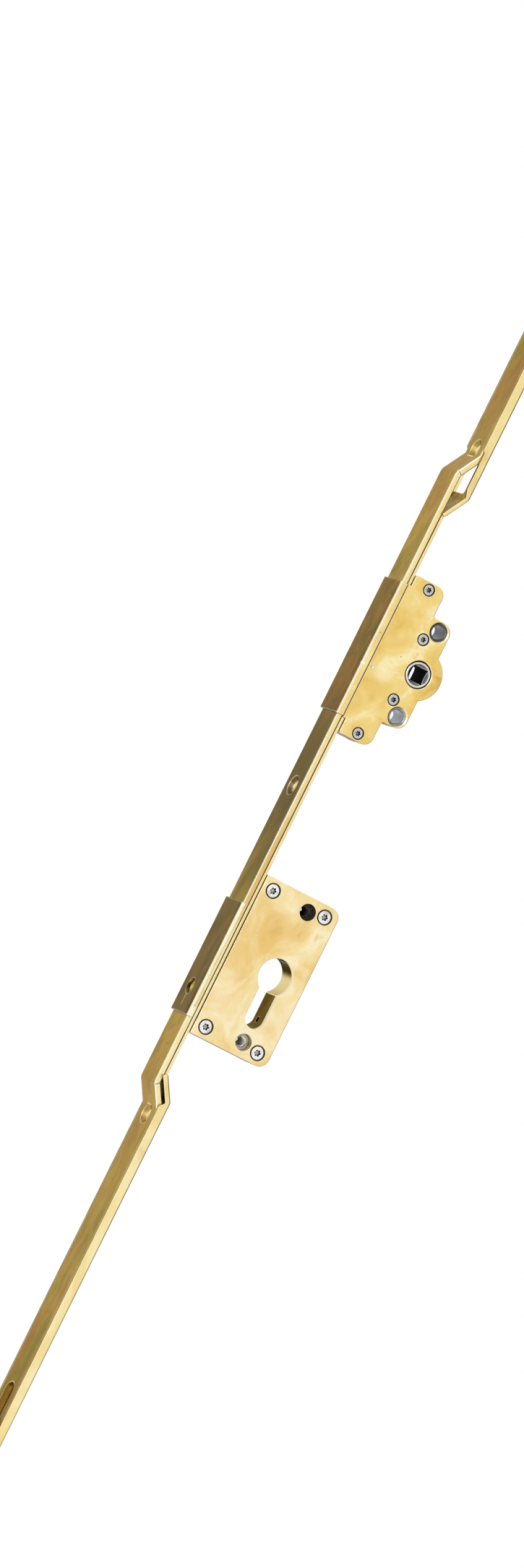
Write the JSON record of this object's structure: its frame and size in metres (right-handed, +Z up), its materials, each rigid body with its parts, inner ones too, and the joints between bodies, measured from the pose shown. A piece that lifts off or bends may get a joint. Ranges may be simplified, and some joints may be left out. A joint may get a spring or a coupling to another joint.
{
  "type": "sliding door lock",
  "caption": "Long face bar with a sliding drive rod and mushroom locking pins, worked by a spindle in a gear case, with a second case for a profile cylinder.",
  "frame": {"origin": "on the spindle axis, midway between the two handle screw holes, in the middle plane of the face bar's width", "axes": "+Z up along the lock, +X from the face bar into the door, -Y towards the side of the cases' screwed plates"},
  "size_m": [0.0477, 0.0208, 0.76],
  "materials": {
    "bar_zinc": "zinc plated and yellow passivated",
    "rod_zinc": "zinc plated and yellow passivated",
    "pin_zinc": "zinc plated, rose bronze passivation",
    "collar_zinc": "zinc plated and yellow passivated",
    "gear_cover_zinc": "zinc plated and yellow passivated",
    "cylinder_cover_zinc": "zinc plated and yellow passivated",
    "case_zinc": "zinc plated and yellow passivated",
    "gear_plate_zinc": "zinc plated and yellow passivated",
    "cylinder_plate_zinc": "zinc plated and yellow passivated",
    "stud_zinc": "zinc plated and yellow passivated",
    "bright_screw": "bright zinc",
    "bush_steel": "turned steel",
    "escutcheon_steel": "turned steel",
    "hub_steel": "turned and broached steel",
    "inner_steel": "plain steel, lightly oiled",
    "spring_steel": "blued spring steel"
  },
  "bodies": {
    "frame": {"face_bar": "bar_zinc", "gear_cover": "gear_cover_zinc", "cylinder_cover": "cylinder_cover_zinc", "gear_case_body": "case_zinc", "gear_case_plate": "gear_plate_zinc", "gear_case_screws": "bright_screw", "gear_case_fixing_screws": "bright_screw", "plate_stud": "stud_zinc", "handle_screw_bushes": "bush_steel", "follower_washers": "inner_steel", "rack_leaf_spring": "spring_steel", "cylinder_case_body": "case_zinc", "cylinder_case_plate": "cylinder_plate_zinc", "cylinder_case_screws": "bright_screw", "cylinder_case_fixing_screws": "bright_screw", "escutcheon_bushes": "escutcheon_steel", "deadlock_guide_pins": "inner_steel", "deadlock_spring": "spring_steel"},
    "rod": {"drive_rod": "rod_zinc", "rack": "inner_steel", "rack_rivets": "inner_steel", "deadlock_block": "inner_steel", "deadlock_block_rivets": "inner_steel", "upper_locking_pin": "pin_zinc", "lower_locking_pin": "pin_zinc", "upper_pin_collar": "collar_zinc", "lower_pin_collar": "collar_zinc"},
    "follower": {"follower": "hub_steel"},
    "deadlock": {"deadlock_slide": "inner_steel"}
  },
  "joints": [
    {"name": "rod_slide", "type": "slide", "parent": "frame", "child": "rod", "axis": [0, 0, 1], "range_m": [0, 0.01767]},
    {"name": "follower_turn", "type": "hinge", "parent": "frame", "child": "follower", "pos_m": [0, 0, 0], "axis": [0, 1, 0], "range_deg": [0, 90]},
    {"name": "deadlock_throw", "type": "slide", "parent": "frame", "child": "deadlock", "axis": [-1, 0, 0], "range_m": [0, 0.0045]}
  ],
  "couplings": [
    {"joint": "follower_turn", "follows": "rod_slide", "rad_per_m": 88.889}
  ]
}
